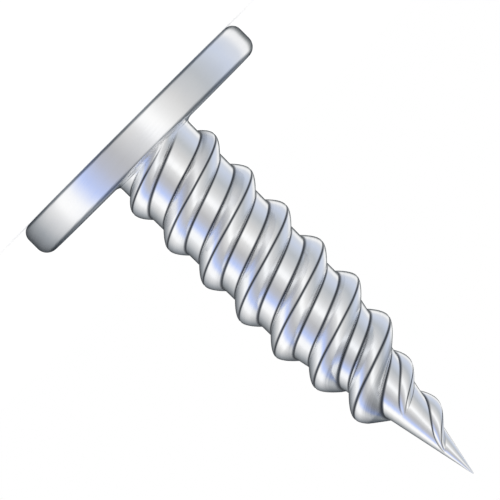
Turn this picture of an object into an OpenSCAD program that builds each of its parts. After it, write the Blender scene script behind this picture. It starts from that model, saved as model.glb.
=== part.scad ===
// Self-piercing sheet metal screw with a flat pancake head, a cross recess, a coarse
// two-start thread and a needle point. It is cold-headed and thread-rolled in one piece.
// Millimetres. The screw stands on the flat face of its head: the origin is the centre
// of that face, and +Z runs along the axis to the point.

/* [Head] */
// Diameter of the head
head_d = 12.55; // [11.5:0.05:14]
// Thickness of the head, from its flat face to its underside
head_h = 1.53; // [1.3:0.01:2.2]
// Rounding of the rim at the flat face
rim_face_r = 0.46; // [0.2:0.02:0.5]
// Rounding of the rim at the underside
rim_under_r = 0.55; // [0.2:0.01:0.6]

/* [Shank] */
// Length from the underside of the head to the tip
shank_l = 19.05; // [17:0.05:32]
// Core diameter at the head
neck_d = 4; // [3.7:0.02:4.2]
// Core diameter where the point begins
core_d = 3.8; // [3.4:0.02:3.9]
// Full angle of the point
point_angle = 24; // [20:0.5:30]
// Radius of the small dome that the tip ends in
tip_r = 0.03; // [0.02:0.01:0.08]

/* [Thread] */
// Diameter over the crests
thread_d = 4.83; // [4.6:0.01:5.2]
// Distance along the axis from one crest to the next
pitch_l = 2.117; // [1.9:0.001:2.6]
// Width of a ridge at its foot
ridge_w = 1.4; // [1:0.02:1.6]
// Width of the land left on a crest
crest_w = 0.1; // [0.06:0.01:0.2]
// Fullness of a flank, where 1 is a straight one
flank_fullness = 1.5; // [1:0.05:2]
// Angle round the axis at which the first ridge leaves the head
thread_turn = 72; // [0:1:180]

/* [Run-out of the thread] */
// Distance over which a ridge grows to its full form below the head
run_in_l = 1.7; // [0.5:0.1:3]
// Share of its full height that a ridge has at the head
run_in_height = 0.8; // [0.5:0.05:1]
// Share of its full width that a ridge has at the head
run_in_width = 0.6; // [0.4:0.05:1]
// Distance from the tip at which the crests start to close in
taper_l = 9.3; // [8:0.1:12]
// Angle to the axis at which the crests close in
taper_angle = 6.8; // [4:0.1:9]
// Angle to the axis at which a ridge sinks into the point
run_out_angle = 26; // [20:0.5:32]
// Distance from the tip at which the first ridge ends
first_end_l = 3.8; // [3:0.1:6]
// Distance from the tip at which the second ridge ends
second_end_l = 1.5; // [1:0.1:2.5]

/* [Fillet under the head] */
// Clearance from the crests to the edge of the fillet, so that a drilled sheet lies flat
fillet_clearance = 0.1; // [0.05:0.01:0.3]
// Height of the fillet along the shank
fillet_h = 0.2; // [0.14:0.02:0.5]

/* [Cross recess] */
// Size across the wings at the flat face
recess_d = 4.2; // [3.8:0.05:4.6]
// Depth of the wings
wing_h = 1.92; // [1.6:0.02:2.1]
// Angle to the axis of the outer ends of the wings
wing_end_angle = 26.5; // [24:0.5:28]
// Width of a wing at its bottom
wing_w = 0.7; // [0.6:0.02:0.8]
// Draft on each side of a wing
wing_draft = 5.75; // [3:0.25:7]
// Diameter of the round well in the middle, at the flat face
well_d = 2.2; // [1.8:0.05:2.5]
// Draft of the well
well_draft = 10; // [5:1:12]
// Angle to the axis of the cone at the bottom
bottom_angle = 62; // [55:1:70]
// Angle round the axis of the first wing
recess_turn = 45; // [0:5:90]

/* [Fineness] */
// Turn of the thread from one ring of points to the next
ring_turn = 12; // [10:1:20]
// Faces round the circle of a revolved form
round_faces = 96; // [48:12:144]

/* [Hidden] */

// Overlap of parts that join and of tools that cut
join_overlap = 0.4;
// Steps on the rounding of the rim, on a flank, on the floor between ridges, on the fillet
// and on the dome of the tip
rim_steps = 6;
flank_steps = 4;
floor_steps = 4;
fillet_steps = 4;
dome_steps = 2;

// Ridges side by side, and what one of them climbs in a turn
thread_starts = 2;
thread_lead = pitch_l * thread_starts;
ridge_h = (thread_d - core_d) / 2;
// Widest and narrowest foot of a ridge, as shares of the pitch and of its own width
widest_share = 0.92;
narrowest_share = 0.15;

// Places along the axis. The cone of the point meets the dome at dome_z, and without the
// dome it would end a little past the tip, at cone_end_z
point_half = point_angle / 2;
point_slope = tan(point_half);
tip_z = head_h + shank_l;
dome_z = tip_z - tip_r * (1 - sin(point_half));
cone_end_z = tip_z - tip_r + tip_r / sin(point_half);
point_z = cone_end_z - core_d / 2 / point_slope;
taper_z = tip_z - taper_l;
ridge_ends = [tip_z - first_end_l, tip_z - second_end_l];

// The fillet reaches past the crests; a short upright edge joins it to the underside
fillet_r = thread_d / 2 + fillet_clearance;
fillet_edge_h = 0.02;
fillet_z = head_h + fillet_edge_h;

// Share of the way from one value to another, held between 0 and 1
function share(value, from, to) = max(0, min(1, (value - from) / (to - from)));

// Radius of the core: nearly straight along the shank, a cone at the point, a dome on the tip
function core_r(z) =
    z > dome_z ? sqrt(pow(tip_r, 2) - pow(z - tip_z + tip_r, 2))
    : min((cone_end_z - z) * point_slope,
          neck_d / 2 + (core_d - neck_d) / 2 * share(z, head_h, point_z));

// Radius over the crest of a ridge that ends at end_z
function crest_r(z, end_z) =
    min(thread_d / 2 - max(0, z - taper_z) * tan(taper_angle),
        core_r(end_z) + (end_z - z) * tan(run_out_angle));

// Height of a ridge over the core, less near the head and none past its end
function ridge_height(z, end_z) =
    max(0, crest_r(z, end_z) - core_r(z))
    * (run_in_height + (1 - run_in_height) * share(z, head_h, head_h + run_in_l));

// Width of the foot of a ridge: a low ridge is a narrow one
function foot_w(z, end_z) =
    let (growth = run_in_width + (1 - run_in_width) * share(z, head_h, head_h + run_in_l),
         own = sqrt(max(0, crest_r(z, end_z) - core_r(z)) / ridge_h))
    min(widest_share * pitch_l, ridge_w * growth * max(narrowest_share, own));

// Radius of the fillet under the head, which fades into the core
function fillet_at(z) =
    let (t = share(z, fillet_z, fillet_z + fillet_h))
    fillet_r - (fillet_r - core_r(z)) * sqrt(1 - (1 - t) * (1 - t));

// Turn round the axis that a ridge makes over a distance along it
function turn_over(l) = 360 * l / thread_lead;

// Angle of the crest of ridge k at height z
function crest_angle(z, k) = thread_turn + turn_over(z - head_h) + 360 * k / thread_starts;

// One point of the section, as angle and height over the core, on a flank of ridge k.
// Step 0 is the edge of the land, and the last step is the foot
function flank_point(z, k, side, step) =
    let (t = step / flank_steps,
         foot = foot_w(z, ridge_ends[k]) / 2,
         land = min(crest_w / 2, foot / 2),
         away = land + (foot - land) * t)
    [crest_angle(z, k) + side * turn_over(away),
     ridge_height(z, ridge_ends[k]) * (1 - pow(t, flank_fullness))];

// Points over ridge k, from one foot across the crest to the other
function ridge_points(z, k) = concat(
    [for (step = [flank_steps : -1 : 0]) flank_point(z, k, -1, step)],
    [for (step = [0 : flank_steps]) flank_point(z, k, 1, step)]);

// Points on the floor between ridge k and the next one
function floor_points(z, k) =
    let (next = (k + 1) % thread_starts,
         from = flank_point(z, k, 1, flank_steps)[0],
         reach = flank_point(z, next, -1, flank_steps)[0] + (next < k ? 360 : 0) - from)
    [for (step = [1 : floor_steps - 1]) [from + reach * step / floor_steps, 0]];

// The whole section at height z, as points in space. Inside the head it goes on straight,
// as it is at the edge of the fillet
function ring(z) =
    let (s = max(z, fillet_z))
    [for (k = [0 : thread_starts - 1], p = concat(ridge_points(s, k), floor_points(s, k)))
        let (r = max(core_r(s) + p[1], fillet_at(s)))
        [r * cos(p[0]), r * sin(p[0]), z]];

// Heights of the rings: one inside the head, a few on the fillet, even steps, then the dome
fillet_top_z = fillet_z + fillet_h;
thread_steps = ceil(turn_over(dome_z - fillet_top_z) / ring_turn);
ring_zs = concat(
    [head_h - join_overlap],
    [for (i = [0 : fillet_steps - 1]) fillet_z + fillet_h * (1 - cos(90 * i / fillet_steps))],
    [for (i = [0 : thread_steps]) fillet_top_z + (dome_z - fillet_top_z) * i / thread_steps],
    [for (i = [1 : dome_steps - 1])
        tip_z - tip_r + tip_r * sin(point_half + (90 - point_half) * i / dome_steps)]);

ring_size = thread_starts * (2 * (flank_steps + 1) + floor_steps - 1);
ring_count = len(ring_zs);

// Shank, thread and point as one skin over the rings, closed at the tip
module threaded_shank() {
    points = concat([for (z = ring_zs, p = ring(z)) p], [[0, 0, tip_z]]);
    tip = len(points) - 1;
    last = (ring_count - 1) * ring_size;
    skin = [
        for (i = [0 : ring_count - 2], j = [0 : ring_size - 1])
        let (a = i * ring_size + j,
             b = i * ring_size + (j + 1) % ring_size)
        each [[a, a + ring_size, b], [b, a + ring_size, b + ring_size]]];
    cap = [for (j = [0 : ring_size - 1]) j];
    cone = [
        for (j = [0 : ring_size - 1])
        [last + j, tip, last + (j + 1) % ring_size]];
    polyhedron(points = points, faces = concat([cap], skin, cone), convexity = 10);
}

// Points on a rounded corner of the rim
function corner(centre, r, from, to) = [
    for (i = [0 : rim_steps])
    let (a = from + (to - from) * i / rim_steps)
    centre + r * [cos(a), sin(a)]];

// Flat disc of the head with its rounded rim
module head() {
    profile = concat(
        [[0, 0]],
        corner([head_d / 2 - rim_face_r, rim_face_r], rim_face_r, -90, 0),
        corner([head_d / 2 - rim_under_r, head_h - rim_under_r], rim_under_r, 0, 90),
        [[0, head_h]]);
    rotate_extrude($fn = round_faces) polygon(profile);
}

// A bar through the axis whose two sides draw in with depth
module drafted_bar() {
    bottom = wing_w / 2;
    top = bottom + (wing_h + join_overlap) * tan(wing_draft);
    rotate([90, 0, 90])
    linear_extrude(height = recess_d + 2 * join_overlap, center = true)
    polygon([[-top, -join_overlap], [top, -join_overlap], [bottom, wing_h], [-bottom, wing_h]]);
}

// Tool that forms the recess: four wings inside a cone, a round well and a pointed bottom
module cross_recess() {
    wing_slope = tan(wing_end_angle);
    bottom_r = recess_d / 2 - wing_h * wing_slope;
    well_bottom_r = well_d / 2 - wing_h * tan(well_draft);
    rotate([0, 0, recess_turn]) {
        intersection() {
            union() {
                drafted_bar();
                rotate([0, 0, 90]) drafted_bar();
            }
            translate([0, 0, -join_overlap])
            cylinder(h = wing_h + join_overlap, r1 = recess_d / 2 + join_overlap * wing_slope,
                r2 = bottom_r, $fn = round_faces);
        }
        translate([0, 0, -join_overlap])
        cylinder(h = wing_h + join_overlap, r1 = well_d / 2 + join_overlap * tan(well_draft),
            r2 = well_bottom_r, $fn = round_faces);
        translate([0, 0, wing_h])
        cylinder(h = well_bottom_r / tan(bottom_angle), r1 = well_bottom_r, r2 = 0,
            $fn = round_faces);
    }
}

module screw() {
    color("silver")
    difference() {
        union() {
            head();
            threaded_shank();
        }
        cross_recess();
    }
}

screw();
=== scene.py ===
from math import asin, atan2, ceil, cos, pi, radians, sin, sqrt, tan
import bmesh
import bpy
from mathutils import Matrix, Vector


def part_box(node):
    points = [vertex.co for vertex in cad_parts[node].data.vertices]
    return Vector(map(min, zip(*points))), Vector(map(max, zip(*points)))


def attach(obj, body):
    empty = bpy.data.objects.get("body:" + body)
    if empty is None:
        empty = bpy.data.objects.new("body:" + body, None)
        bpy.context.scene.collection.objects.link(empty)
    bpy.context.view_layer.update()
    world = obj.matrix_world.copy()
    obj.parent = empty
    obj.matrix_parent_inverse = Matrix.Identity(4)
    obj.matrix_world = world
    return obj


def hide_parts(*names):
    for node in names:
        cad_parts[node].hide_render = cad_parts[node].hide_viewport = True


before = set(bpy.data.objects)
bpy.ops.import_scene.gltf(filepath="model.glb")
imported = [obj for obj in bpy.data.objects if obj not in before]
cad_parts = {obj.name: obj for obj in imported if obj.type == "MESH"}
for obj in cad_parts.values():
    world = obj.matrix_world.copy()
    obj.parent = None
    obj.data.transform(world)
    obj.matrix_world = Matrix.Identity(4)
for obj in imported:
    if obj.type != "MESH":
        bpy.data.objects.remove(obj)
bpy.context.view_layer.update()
print("frame loaded")

mm = 0.001        # the scene is in metres, the sizes below are in millimetres
mergeGap = 1e-5   # points that lie closer than this become one


# Camera, as in the drawing: level with the screw, which lies across the frame

cameraPlan = {
    "frameWidth": 20.99,   # what the frame spans at the screw's axis
    "aimHeight": 7.315,    # height on the axis that is in the middle of the frame
    "lens": 1500,          # long, so that the view is as good as parallel
    "sensor": 36,
    "nearShare": 0.2,      # clipping, as shares of the distance
    "farShare": 5,
}


def placeCamera(plan):
    camera = bpy.data.cameras.new("camera")
    camera.sensor_width = plan["sensor"]
    camera.lens = plan["lens"]
    distance = plan["frameWidth"] * plan["lens"] / plan["sensor"]
    camera.clip_start = plan["nearShare"] * distance * mm
    camera.clip_end = plan["farShare"] * distance * mm
    holder = bpy.data.objects.new("camera", camera)
    bpy.context.scene.collection.objects.link(holder)
    right = Vector((-1, 0, 1)).normalized()   # the point is at the lower right of the frame
    up = Vector((-1, 0, -1)).normalized()
    turn = Matrix((right, up, right.cross(up))).transposed().to_4x4()
    place = Vector((0, -distance, plan["aimHeight"])) * mm
    holder.matrix_world = Matrix.Translation(place) @ turn
    bpy.context.scene.camera = holder


placeCamera(cameraPlan)
print("camera placed")


# Colours, nodes and objects

# An sRGB hex colour in Blender's linear values, with its alpha
def linearColour(hexText):
    channels = [int(hexText[i:i + 2], 16) / 255 for i in (1, 3, 5)]
    return [c / 12.92 if c <= 0.04045 else ((c + 0.055) / 1.055) ** 2.4 for c in channels] + [1]


# A node with its settings, by number or name of a socket or by name of a property, and its links
def addNode(tree, kind, settings=(), links=()):
    node = tree.nodes.new(kind)
    for name, value in dict(settings).items():
        if isinstance(name, int) or name in node.inputs:
            node.inputs[name].default_value = value
        else:
            setattr(node, name, value)
    for name, source in dict(links).items():
        tree.links.new(source, node.inputs[name])
    return node


def meshObject(name, bm):
    mesh = bpy.data.meshes.new(name)
    bm.to_mesh(mesh)
    bm.free()
    made = bpy.data.objects.new(name, mesh)
    bpy.context.scene.collection.objects.link(made)
    return made


# The screw's own mesh, finer than the solid and of the same form

regions = {"head": 0, "thread": 1, "recess": 2}   # the order of the three materials


def share(value, start, end):
    return max(0.0, min(1.0, (value - start) / (end - start)))


# The greater of two values, blended where they come close
def softMax(a, b, blend):
    near = max(0.0, blend - abs(a - b)) / blend
    return max(a, b) + near * near * blend / 4


# Shank, thread and point

threadForm = {
    "neckRadius": 2.0,     # core at the head
    "coreRadius": 1.9,     # core where the point begins
    "pointAngle": 24,      # full angle of the cone
    "tipRadius": 0.03,
    "domeAngles": (15, 35, 60, 90),   # of the rows on the dome at the tip
    "crestRadius": 2.415,
    "pitch": 2.117,
    "starts": 2,
    "footWidth": 1.4,      # of a ridge, and the land on its crest
    "landWidth": 0.1,
    "fullness": 1.5,       # of the flanks, where 1 is straight
    "firstTurn": 72,       # angle at which the first ridge leaves the head
    "runIn": 1.7,          # a ridge grows over this length below the head
    "runInHeight": 0.8,    # shares of its height and foot that it starts with
    "runInWidth": 0.6,
    "taperLength": 9.3,    # the crests close in from here to the tip
    "taperAngle": 6.8,
    "runOutAngle": 26,     # at which a ridge sinks into the point
    "endLengths": (3.8, 1.5),         # from the end of each ridge to the tip
    "widest": 0.92,        # foot as a share of the pitch
    "narrowest": 0.15,     # foot where a ridge ends, as a share of its full width
    "filletClearance": 0.1,           # from the crests to the edge of the fillet
    "filletHeight": 0.22,
    "filletRows": 14,
    "filletBlend": 0.08,   # softens where a ridge comes out of the fillet
    "rootRound": 0.03,     # left by the rolling die between ridge and floor
    "lapWidth": 0.09,      # the fold that rolling leaves along a crest
    "lapDepth": 0.03,
    "paintedShadeWidth": 0.16,   # of the painted shade line in each root and along the lap
    "paintedShadeLeast": 0.6,    # share of that width which is left where a ridge ends
    "paintedShadeHold": 2,       # keeps the line strong as its ridge sinks
    "paintedShadeStart": 0.5,    # the line comes in between these heights, in heights of the fillet
    "paintedShadeFull": 2,
    "rowGap": 0.06,        # from one row of points to the next
}


# The bare core: a slightly tapered shank, the cone of the point and the small dome at the tip
def coreAt(form, headThick, tip, z):
    half = radians(form["pointAngle"] / 2)
    dome = form["tipRadius"]
    if z > tip - dome * (1 - sin(half)):
        return sqrt(max(0, dome ** 2 - (z - tip + dome) ** 2))
    coneEnd = tip + dome * (1 / sin(half) - 1)
    along = share(z, headThick, coneEnd - form["coreRadius"] / tan(half))
    shank = form["neckRadius"] + (form["coreRadius"] - form["neckRadius"]) * along
    return min((coneEnd - z) * tan(half), shank)


# Radii of the shank at height z, one for each column, and the painted shade of each point, which darkens
# the roots and the lap.
# Every column runs along the thread, so it keeps its distance from the crest of each ridge,
# given in ridgeGaps
def shankSection(form, headThick, tip, z, ridgeGaps):
    core = coreAt(form, headThick, tip, z)
    fillet = form["filletHeight"]
    fullRise = form["crestRadius"] - form["coreRadius"]
    grown = share(z, headThick, headThick + form["runIn"])
    closing = max(0.0, z - tip + form["taperLength"]) * tan(radians(form["taperAngle"]))
    clear = share(z, headThick + fillet * form["paintedShadeStart"], headThick + fillet * form["paintedShadeFull"])
    radii = [core] * len(ridgeGaps[0])
    paintedShades = [0.0] * len(ridgeGaps[0])
    for gaps, endLength in zip(ridgeGaps, form["endLengths"]):
        end = tip - endLength
        runOut = coreAt(form, headThick, tip, end) + (end - z) * tan(radians(form["runOutAngle"]))
        rise = max(0.0, min(form["crestRadius"] - closing, runOut) - core)
        if rise == 0:
            continue
        growth = form["runInWidth"] + (1 - form["runInWidth"]) * grown
        own = max(form["narrowest"], sqrt(rise / fullRise))
        foot = min(form["widest"] * form["pitch"], form["footWidth"] * growth * own) / 2
        land = min(form["landWidth"], foot) / 2
        height = rise * (form["runInHeight"] + (1 - form["runInHeight"]) * grown)
        strength = min(1.0, rise / fullRise)
        # How strongly the painted shade line shows in this ridge's roots and along its lap
        paintedShadeStrength = min(1.0, form["paintedShadeHold"] * sqrt(strength)) * clear
        reach = max(form["paintedShadeLeast"], own) * form["paintedShadeWidth"] / 2
        for column, gap in enumerate(gaps):
            t = max(0.0, (gap - land) / (foot - land))
            raised = softMax(height * (1 - t ** form["fullness"]), 0, form["rootRound"])
            raised -= strength * form["lapDepth"] * max(0.0, 1 - gap * 2 / form["lapWidth"])
            radii[column] = max(radii[column], core + raised)
            # The painted shade is darkest on the root and on the lap and fades out across the line
            near = min(gap, abs(gap - foot)) / reach
            paintedShades[column] = max(paintedShades[column], paintedShadeStrength * max(0.0, 1 - near ** 2))
    outer = form["crestRadius"] + form["filletClearance"]
    inward = 1 - share(z, headThick, headThick + fillet)
    curve = outer - (outer - core + form["filletBlend"]) * sqrt(1 - inward ** 2)
    return [softMax(radius, curve, form["filletBlend"]) for radius in radii], paintedShades


# Heights of the rows: close together in the fillet, even along the thread, few in the dome
def shankHeights(form, headThick, tip):
    fillet, dome = form["filletHeight"], form["tipRadius"]
    curve = [radians(90 * i / form["filletRows"]) for i in range(form["filletRows"])]
    heights = [headThick + fillet * (1 - cos(a)) for a in curve]
    straight = tip - dome - headThick - fillet
    steps = ceil(straight / form["rowGap"])
    heights += [headThick + fillet + straight * i / steps for i in range(steps + 1)]
    return heights + [tip - dome + dome * sin(radians(a)) for a in form["domeAngles"]]


# A sheet rolled into a tube: its columns follow the thread and its last row closes on the tip
def shankSkin(bm, form, head, tip):
    columns = head["columns"]
    lead = form["pitch"] * form["starts"]
    heights = shankHeights(form, head["thick"], tip)
    rows = len(heights) - 1
    ridgeGaps = []
    for k in range(form["starts"]):
        crest = form["firstTurn"] / 360 + k / form["starts"]
        ridgeGaps.append([abs((j / columns - crest + 0.5) % 1 - 0.5) * lead for j in range(columns)])
    # The painted shade of the root and lap lines, stored on each point
    paintedShade = bm.verts.layers.float.new("paintedShade")
    bmesh.ops.create_grid(bm, x_segments=columns, y_segments=rows, size=0.5)   # from -0.5 to 0.5
    sections = [shankSection(form, head["thick"], tip, z, ridgeGaps) for z in heights]
    seam = []
    for vert in bm.verts:
        j = round((vert.co.x + 0.5) * columns)
        i = round((vert.co.y + 0.5) * rows)
        angle = 2 * pi * (j / columns + (heights[i] - head["thick"]) / lead)
        radii, paintedShades = sections[i]
        radius = radii[j % columns]
        vert.co = (radius * cos(angle), radius * sin(angle), heights[i])
        vert[paintedShade] = paintedShades[j % columns]
        if i == rows or j in (0, columns):
            seam.append(vert)
    bmesh.ops.remove_doubles(bm, verts=seam, dist=mergeGap)
    for face in bm.faces:
        face.material_index = regions["thread"]
    return sections[0][0][0]


# Head: a flat disc with a rounded rim

headForm = {
    "thick": 1.53,
    "faceRim": 0.46,       # rounding of the rim at the flat face
    "underRim": 0.55,      # rounding of the rim at the underside
    "rimSteps": 12,
    "holdGap": 0.05,       # a ring this close to each rounding keeps the flat faces flat
    "columns": 240,        # points round the axis, a multiple of 8
    "sharpAngle": 35,      # edges of the recess that are steeper than this stay sharp
}


# A quarter circle of the rim's section, from the angle start on down
def rimPoints(radius, rounding, height, start, steps):
    turns = [radians(start - 90 * i / steps) for i in range(steps + 1)]
    return [(radius - rounding + rounding * cos(a), height + rounding * sin(a)) for a in turns]


# Half section of the head from the neck over the rim to the recess, spun round the axis
def headSkin(bm, head, radius, neck, mouth):
    thick, hold = head["thick"], head["holdGap"]
    under = rimPoints(radius, head["underRim"], thick - head["underRim"], 90, head["rimSteps"])
    face = rimPoints(radius, head["faceRim"], head["faceRim"], 0, head["rimSteps"])
    path = [(neck, thick), (neck + hold, thick), (under[0][0] - hold, thick)]
    path += under + [(radius, under[-1][1] - hold), (radius, face[0][1] + hold)] + face
    path += [(face[-1][0] - hold, 0), (mouth, 0)]
    verts = [bm.verts.new((r, 0, z)) for r, z in path]
    edges = [bm.edges.new(pair) for pair in zip(verts, verts[1:])]
    shank = set(bm.faces)
    bmesh.ops.spin(bm, geom=verts + edges, cent=(0, 0, 0), axis=(0, 0, 1), angle=2 * pi,
                   steps=head["columns"], use_merge=True)
    for made in bm.faces:
        if made not in shank:
            made.material_index = regions["head"]
    joint = [v for v in bm.verts if abs(v.co.z - thick) < mergeGap and v.co.xy.length < neck + hold / 2]
    bmesh.ops.remove_doubles(bm, verts=joint, dist=mergeGap)


# Cross recess in the flat face

recessForm = {
    "width": 4.2,          # across the wings
    "depth": 1.92,
    "endAngle": 26.5,
    "wingWidth": 0.7,      # at the bottom
    "wingDraft": 5.75,
    "wellWidth": 2.2,
    "wellDraft": 10,
    "bottomAngle": 62,
    "bottomShares": (1, 0.6, 0.25, 0),   # rings of the well's bottom, as shares of its radius
    "turn": 45,
    "mouthRound": 0.05,
    "mouthHold": 0.1,      # a ring this far out keeps the face flat round the mouth
    "mouthSteps": 4,
    "border": 0.5,         # ring of the flat face that is drawn in to the mouth
    "endSteps": 10,        # points on half a wing's end
    "sideSteps": 10,       # and on one of its sides, so each point is nearly abreast of its column
}


# Points of the cross at one depth, grown outwards by a little at the rounded mouth
def recessOutline(form, count, depth, grow):
    half = form["wingWidth"] / 2 + (form["depth"] - depth) * tan(radians(form["wingDraft"])) + grow
    end = form["width"] / 2 - depth * tan(radians(form["endAngle"])) + grow
    well = form["wellWidth"] / 2 - depth * tan(radians(form["wellDraft"])) + grow
    quarter = count // 4
    endSteps = form["endSteps"]
    wellStart = endSteps + form["sideSteps"]
    points = []
    for i in range(count):
        k = i % quarter - quarter // 2
        side = 1 if k >= 0 else -1
        k = abs(k)
        if k <= endSteps:
            a = asin(half / end) * k / endSteps
            point = Vector((end * cos(a), end * sin(a)))
        elif k <= wellStart:
            t = (k - endSteps) / form["sideSteps"]
            far, near = sqrt(end ** 2 - half ** 2), sqrt(well ** 2 - half ** 2)
            point = Vector((far * (1 - t) + near * t, half))
        else:
            start = asin(half / well)
            a = start + (pi / 4 - start) * (k - wellStart) / (quarter / 2 - wellStart)
            point = Vector((well * cos(a), well * sin(a)))
        point.y *= side
        points.append(Matrix.Rotation(radians(form["turn"]) + (i // quarter) * pi / 2, 2) @ point)
    return points


# Rings of the recess as depth and points, from the flat face to the bottom of the well
def recessRings(form, count):
    rings = [(0, recessOutline(form, count, 0, form["mouthHold"]))]
    for i in range(form["mouthSteps"] + 1):
        a = radians(90 * i / form["mouthSteps"])
        depth = form["mouthRound"] * (1 - cos(a))
        rings.append((depth, recessOutline(form, count, depth, form["mouthRound"] * (1 - sin(a)))))
    rings.append((form["depth"], recessOutline(form, count, form["depth"], 0)))
    well = form["wellWidth"] / 2 - form["depth"] * tan(radians(form["wellDraft"]))
    drop = well / tan(radians(form["bottomAngle"]))
    spokes = [point.normalized() for point in rings[-1][1]]
    for part in form["bottomShares"]:
        rings.append((form["depth"] + drop * (1 - part), [s * well * part for s in spokes]))
    return rings


# The edge of the hole in the flat face is drawn in, ring by ring
def recessSkin(bm, form, count):
    rim = [v for v in bm.verts if v.is_boundary]
    ring = sorted(rim, key=lambda v: round(atan2(v.co.y, v.co.x) * count / (2 * pi)) % count)
    deep = []
    for depth, points in recessRings(form, count):
        edges = [bm.edges.get(pair) for pair in zip(ring, ring[1:] + ring[:1])]
        made = bmesh.ops.extrude_edge_only(bm, edges=edges)["geom"]
        fresh = {g for g in made if isinstance(g, bmesh.types.BMVert)}
        ring = [next(e.other_vert(v) for e in v.link_edges if e.other_vert(v) in fresh) for v in ring]
        deep += ring
        for face in made:
            if isinstance(face, bmesh.types.BMFace):
                face.material_index = regions["recess"] if depth > 0 else regions["head"]
        for vert, point in zip(ring, points):
            vert.co = (point.x, point.y, depth)
    bmesh.ops.remove_doubles(bm, verts=deep, dist=mergeGap)


# Where a face, edge or vertex lies: the sorted places of its corners, or its own
def placeOf(part):
    return sorted(v.co.to_tuple() for v in getattr(part, "verts", [part]))


# The operators leave the head's parts in another order each run, so they are put in order of place
def sortByPlace(bm):
    for parts in (bm.verts, bm.edges, bm.faces):
        order = {part: i for i, part in enumerate(sorted(parts, key=placeOf))}
        parts.sort(key=order.get)


# The screw is one piece, so its three skins are one closed mesh
def buildScrew():
    low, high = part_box("screw")
    radius = (high[0] - low[0]) / 2 / mm
    bm = bmesh.new()
    neck = shankSkin(bm, threadForm, headForm, high[2] / mm)
    print("shank shaped")
    headSkin(bm, headForm, radius, neck, recessForm["width"] / 2 + recessForm["border"])
    recessSkin(bm, recessForm, headForm["columns"])
    print("head shaped")
    bmesh.ops.recalc_face_normals(bm, faces=bm.faces[:])
    for face in bm.faces:
        face.smooth = True
    for edge in bm.edges:
        rolled = any(f.material_index == regions["thread"] for f in edge.link_faces)
        edge.smooth = rolled or edge.calc_face_angle(0) < radians(headForm["sharpAngle"])
    bmesh.ops.scale(bm, verts=bm.verts[:], vec=(mm, mm, mm))
    sortByPlace(bm)
    print("open edges:", sum(not e.is_manifold for e in bm.edges))
    print("triangles:", sum(len(f.verts) - 2 for f in bm.faces))
    return meshObject("screwBody", bm)


screwBody = buildScrew()
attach(screwBody, "root")
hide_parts("screw")
print("screw built")


# Materials

# Bright zinc, plated in a tumbling barrel and passivated: a clear mirror that the barrel has
# softened, with shallow knocks and a hint of blue that comes and goes
tumbledZinc = {
    "name": "tumbledZincPlating",
    "colours": ("#f2f2f2", "#eaebee"),
    "roughness": (0.12, 0.2),
    "markWidth": 0.5,
    "markLength": 0.5,
    "markDepth": 0.004,
}

# The same plating over a rolled thread: the dies draw the metal along the ridges, which
# leaves fine lines that run round with them. Real ones are 0.02 mm apart, too fine to show.
# The roots and the lap get a dark, rougher line of painted shade, where shade falls in the crease
rolledZinc = {
    "name": "rolledZincPlating",
    "colours": ("#f2f2f2", "#e9ebee"),
    # painted shade, laid along the roots and the lap
    "paintedShadeColour": "#3c4148",
    "paintedShadeRoughness": 0.25,
    "roughness": (0.1, 0.2),
    "markWidth": 0.3,      # round the axis, so a third of this across the ridges
    "markLength": 9,
    "markDepth": 0.004,
}

# Plating reaches poorly into the recess, which stays duller and greyer
recessZinc = {
    "name": "recessZincPlating",
    "colours": ("#c4c7cb", "#aeb2b8"),
    "roughness": (0.24, 0.36),
    "markWidth": 0.25,
    "markLength": 0.5,
    "markDepth": 0.004,
}

# What the three have in common: marks, and patches in which the passivation varies
plating = {
    "patchWidth": 2.5,
    "patchDetail": 2,
    "patchSpread": (0.35, 0.65),   # noise values at which the first and second colour are reached
    "markDetail": 1.5,
    "markRoughness": 0.5,
    "markSpread": (0.3, 0.7),      # and the lowest and highest roughness
}


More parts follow.
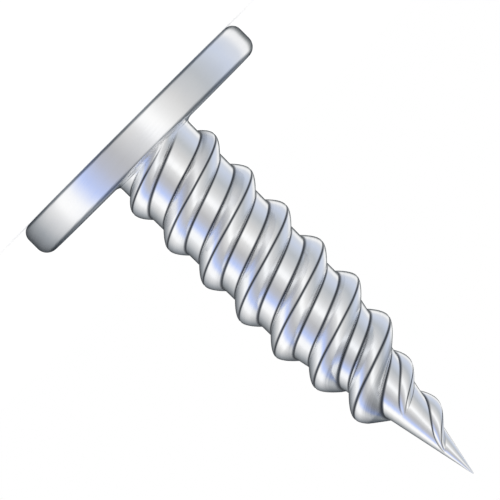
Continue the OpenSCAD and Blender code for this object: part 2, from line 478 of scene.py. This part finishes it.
def zincPlating(look, shared, lead):
    material = bpy.data.materials.new(look["name"])
    material.use_nodes = True
    tree = material.node_tree
    shader = tree.nodes["Principled BSDF"]
    shader.inputs["Metallic"].default_value = 1
    place = addNode(tree, "ShaderNodeTexCoord")
    split = addNode(tree, "ShaderNodeSeparateXYZ", links={0: place.outputs["Object"]})

    # Turned back by the climb of the thread, so that a mark along a ridge is a straight one
    turn = addNode(tree, "ShaderNodeMath", {"operation": "MULTIPLY", 1: -2 * pi / (lead * mm)},
                   {0: split.outputs["Z"]})
    along = addNode(tree, "ShaderNodeVectorRotate", {"rotation_type": "Z_AXIS"},
                    {"Vector": place.outputs["Object"], "Angle": turn.outputs[0]})
    width, length = 1 / (look["markWidth"] * mm), 1 / (look["markLength"] * mm)
    marks = addNode(tree, "ShaderNodeMapping", {"Scale": (width, width, length)}, {0: along.outputs[0]})
    grain = addNode(tree, "ShaderNodeTexNoise",
                    {"Scale": 1, "Detail": shared["markDetail"], "Roughness": shared["markRoughness"]},
                    {0: marks.outputs[0]})
    patch = addNode(tree, "ShaderNodeTexNoise",
                    {"Scale": 1 / (shared["patchWidth"] * mm), "Detail": shared["patchDetail"]},
                    {0: place.outputs["Object"]})

    first, last = shared["patchSpread"]
    tint = addNode(tree, "ShaderNodeMapRange", {"From Min": first, "From Max": last},
                   {"Value": patch.outputs[0]})
    pale, deep = [linearColour(text) for text in look["colours"]]
    colour = addNode(tree, "ShaderNodeMix", {"data_type": "RGBA", 6: pale, 7: deep}, {0: tint.outputs[0]})
    first, last = shared["markSpread"]
    low, high = look["roughness"]
    sheen = addNode(tree, "ShaderNodeMapRange",
                    {"From Min": first, "From Max": last, "To Min": low, "To Max": high},
                    {"Value": grain.outputs[0]})
    relief = addNode(tree, "ShaderNodeBump", {"Strength": 1, "Distance": look["markDepth"] * mm},
                     {"Height": grain.outputs[0]})
    # Painted shade: the stored line darkens the roots and the lap and makes them rougher
    if "paintedShadeColour" in look:
        paintedShade = addNode(tree, "ShaderNodeAttribute", {"attribute_name": "paintedShade"})
        paintedShadeTone = linearColour(look["paintedShadeColour"])
        colour = addNode(tree, "ShaderNodeMix", {"data_type": "RGBA", 7: paintedShadeTone},
                         {0: paintedShade.outputs["Fac"], 6: colour.outputs[2]})
        sheen = addNode(tree, "ShaderNodeMath", {"operation": "MULTIPLY_ADD", 1: look["paintedShadeRoughness"]},
                        {0: paintedShade.outputs["Fac"], 2: sheen.outputs[0]})
    tree.links.new(colour.outputs[2], shader.inputs["Base Color"])
    tree.links.new(sheen.outputs[0], shader.inputs["Roughness"])
    tree.links.new(relief.outputs[0], shader.inputs["Normal"])
    return material


climb = threadForm["pitch"] * threadForm["starts"]
for look in (tumbledZinc, rolledZinc, recessZinc):
    screwBody.data.materials.append(zincPlating(look, plating, climb))
print("materials made")


# Studio: white world, pale floor and a graded tent that only the metal sees. The tent is made
# of strips that run overhead and meet at its back, so a rounded edge shows them without a bend

tentForm = {
    "radius": 300,
    "segments": 64,
    "rings": 32,
    "strength": 1.12,      # so that the white cloth comes back white from metal of about 0.9
    "strips": [   # direction round the screw, from behind it over the right of the camera
        (-180, "#303438"), (-160, "#484c50"),                       # dark card, which draws edges
        (-126, "#a0a4a8"), (-94, "#e8e8e8"),                        # its shade falls off
        (-85, "#ffffff"), (-70, "#ffffff"), (-54, "#c0d0fc"),       # white panel, pale blue beside it
        (-34, "#bcbec8"), (-20, "#bcbcbe"), (3, "#e0e0e0"),         # grey gap
        (11, "#ffffff"), (19, "#ffffff"),                           # white strip beside the camera
        (30, "#e8e8e8"), (44, "#d4d4d4"), (70, "#bcc0c4"),          # grey gap
        (102, "#ccd4e4"), (122, "#d8dce4"),                         # cool card
        (132, "#f4f4f4"), (144, "#f4f4f4"),                         # white strip at the back
        (153, "#848888"), (164, "#484c50"), (180, "#303438"),       # dark card again
    ],
    "steepness": [   # how far down or up a face leans that sees the strip, as a sine
        (-1, "#c8ccd0"), (-0.93, "#7e848a"), (-0.81, "#7e848a"), (-0.66, "#ffffff"),
        (0.66, "#ffffff"), (0.81, "#7e848a"), (0.93, "#7e848a"), (1, "#c8ccd0"),
    ],
}


# A ramp over values from -reach to reach
def addRamp(tree, stops, reach, source):
    ramp = addNode(tree, "ShaderNodeValToRGB", links={0: source})
    marks = ramp.color_ramp.elements
    while len(marks) < len(stops):
        marks.new(0.5)   # each gets its place below
    for mark, (place, colour) in zip(marks, stops):
        mark.position = (place + reach) / (2 * reach)
        mark.color = linearColour(colour)
    return ramp.outputs[0]


def buildTent(form):
    bm = bmesh.new()
    radius = form["radius"] * mm
    bmesh.ops.create_uvsphere(bm, u_segments=form["segments"], v_segments=form["rings"], radius=radius)
    for face in bm.faces:
        face.smooth = True
    tent = meshObject("lightTent", bm)
    tent.visible_camera = False
    tent.visible_diffuse = False
    tent.visible_shadow = False
    material = bpy.data.materials.new("gradedTentCloth")
    material.use_nodes = True
    material.cycles.emission_sampling = "NONE"
    tree = material.node_tree
    tree.nodes.clear()
    place = addNode(tree, "ShaderNodeTexCoord")
    split = addNode(tree, "ShaderNodeSeparateXYZ", links={0: place.outputs["Object"]})

    # The angle at the middle of the back is half the direction round the screw
    depth = addNode(tree, "ShaderNodeMath", {"operation": "SUBTRACT", 0: radius},
                    {1: split.outputs["Y"]})
    left = addNode(tree, "ShaderNodeMath", {"operation": "MULTIPLY", 1: -1}, {0: split.outputs["X"]})
    turn = addNode(tree, "ShaderNodeMath", {"operation": "ARCTAN2"},
                   {0: left.outputs[0], 1: depth.outputs[0]})
    across = addNode(tree, "ShaderNodeMapRange", {"From Min": -pi / 2, "From Max": pi / 2},
                     {"Value": turn.outputs[0]})
    strips = addRamp(tree, form["strips"], 180, across.outputs[0])

    # Height over the distance from the middle of the back is the sine that steepness goes by
    area = addNode(tree, "ShaderNodeMath", {"operation": "MULTIPLY", 1: 2 * radius},
                   {0: depth.outputs[0]})
    reach = addNode(tree, "ShaderNodeMath", {"operation": "SQRT"}, {0: area.outputs[0]})
    lean = addNode(tree, "ShaderNodeMath", {"operation": "DIVIDE"},
                   {0: split.outputs["Z"], 1: reach.outputs[0]})
    steep = addNode(tree, "ShaderNodeMapRange", {"From Min": -1, "From Max": 1},
                    {"Value": lean.outputs[0]})
    dimming = addRamp(tree, form["steepness"], 1, steep.outputs[0])
    mixed = addNode(tree, "ShaderNodeMix", {"data_type": "RGBA", "blend_type": "MULTIPLY", 0: 1},
                    {6: strips, 7: dimming})
    glow = addNode(tree, "ShaderNodeEmission", {"Strength": form["strength"]}, {0: mixed.outputs[2]})
    addNode(tree, "ShaderNodeOutputMaterial", links={0: glow.outputs[0]})
    tent.data.materials.append(material)
    return tent


floorForm = {
    "reach": 1500,         # from the screw to each side
    "colour": "#f4f4f4",
    "lift": 0.15,          # what the camera sees on top, so that the floor is white up to the shadow
}


def buildFloor(form):
    bm = bmesh.new()
    bmesh.ops.create_grid(bm, x_segments=1, y_segments=1, size=form["reach"] * mm)
    floor = meshObject("floor", bm)
    floor.visible_glossy = False   # the metal sees the tent's strips below it as well
    material = bpy.data.materials.new("whiteFloor")
    material.use_nodes = True
    tree = material.node_tree
    tree.nodes.clear()
    paint = addNode(tree, "ShaderNodeBsdfDiffuse", {"Color": linearColour(form["colour"])})
    ray = addNode(tree, "ShaderNodeLightPath")
    lift = addNode(tree, "ShaderNodeMath", {"operation": "MULTIPLY", 1: form["lift"]},
                   {0: ray.outputs["Is Camera Ray"]})
    glow = addNode(tree, "ShaderNodeEmission", links={"Strength": lift.outputs[0]})
    both = addNode(tree, "ShaderNodeAddShader", links={0: paint.outputs[0], 1: glow.outputs[0]})
    addNode(tree, "ShaderNodeOutputMaterial", links={0: both.outputs[0]})
    floor.data.materials.append(material)
    return floor


buildTent(tentForm)
buildFloor(floorForm)


def buildWorld():
    world = bpy.data.worlds.new("studio")
    bpy.context.scene.world = world
    world.use_nodes = True
    background = world.node_tree.nodes["Background"]
    background.inputs["Color"].default_value = (1, 1, 1, 1)
    background.inputs["Strength"].default_value = 1


buildWorld()
bpy.context.scene.view_settings.view_transform = "Standard"
print("studio built")
